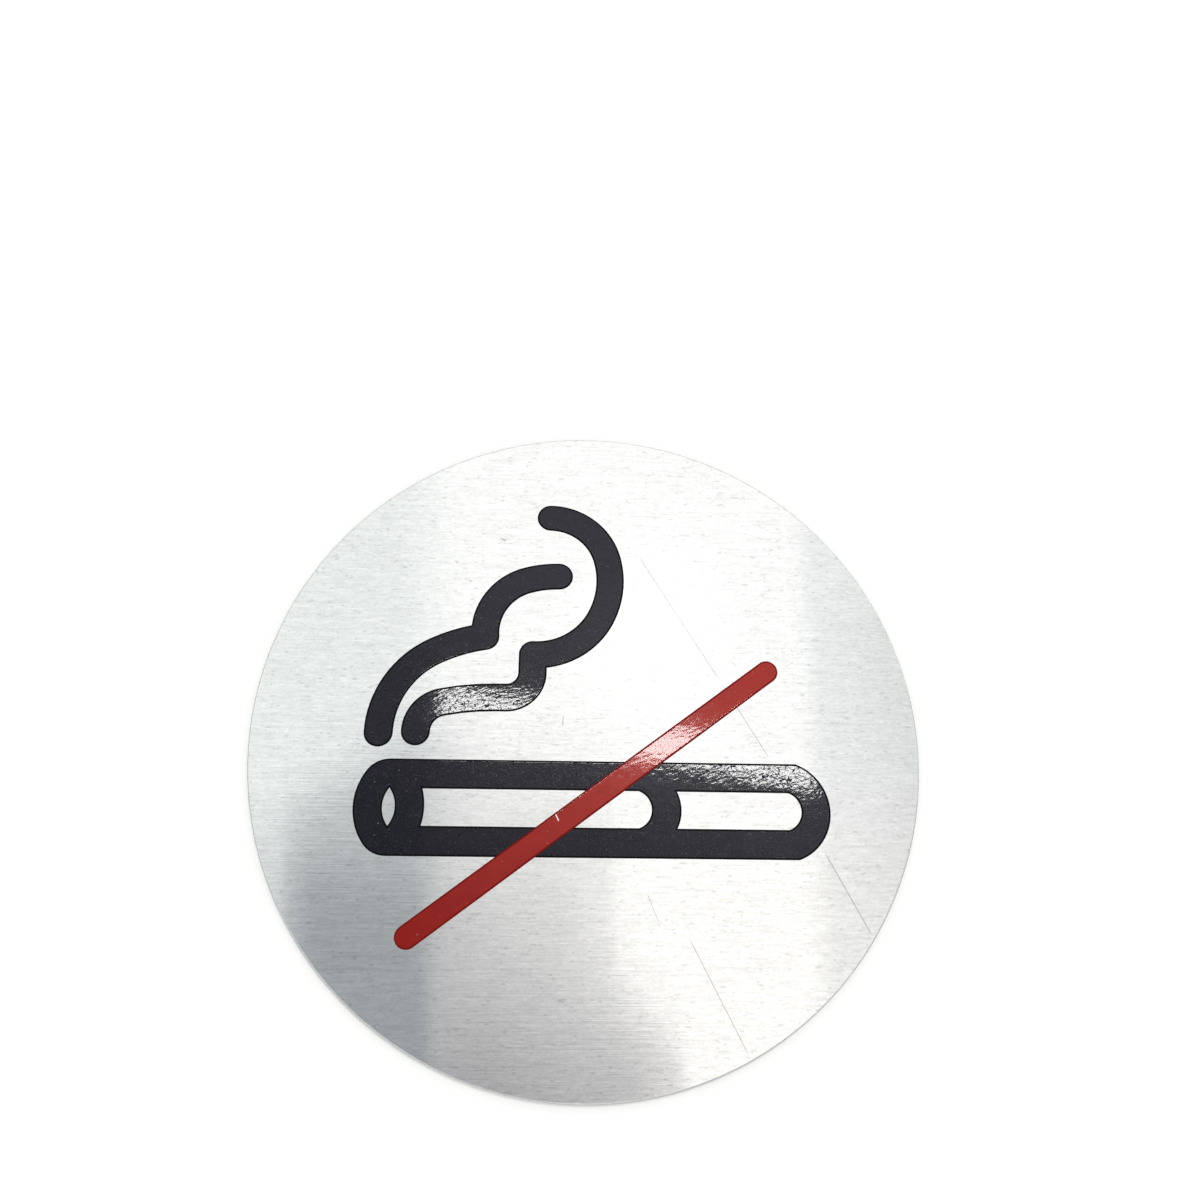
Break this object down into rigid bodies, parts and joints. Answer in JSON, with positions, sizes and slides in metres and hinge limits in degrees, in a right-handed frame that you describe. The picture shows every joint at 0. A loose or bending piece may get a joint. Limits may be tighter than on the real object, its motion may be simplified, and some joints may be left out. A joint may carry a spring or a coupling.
{
  "type": "no smoking sign",
  "caption": "Round self-adhesive brushed metal sign with a printed cigarette, two smoke lines and a slanted red bar.",
  "frame": {"origin": "middle of the back face, on the release paper", "axes": "+Z out of the printed face, +Y to the top of the pictogram, +X to its right"},
  "size_m": [0.075, 0.075, 0.0012],
  "materials": {
    "brushed_disc": "fine level brushing under a clear gloss coat",
    "black_ink": "gloss screen ink with a faint orange peel",
    "red_ink": "gloss screen ink with a faint orange peel",
    "adhesive": "tacky acrylic film",
    "release_paper": "smooth silicone coated paper"
  },
  "bodies": {
    "root": {"face_plate": "brushed_disc", "cigarette_print": "black_ink", "inner_smoke_print": "black_ink", "outer_smoke_print": "black_ink", "bar_print": "red_ink", "adhesive_film": "adhesive", "liner_large": "release_paper", "liner_small": "release_paper"}
  },
  "joints": []
}
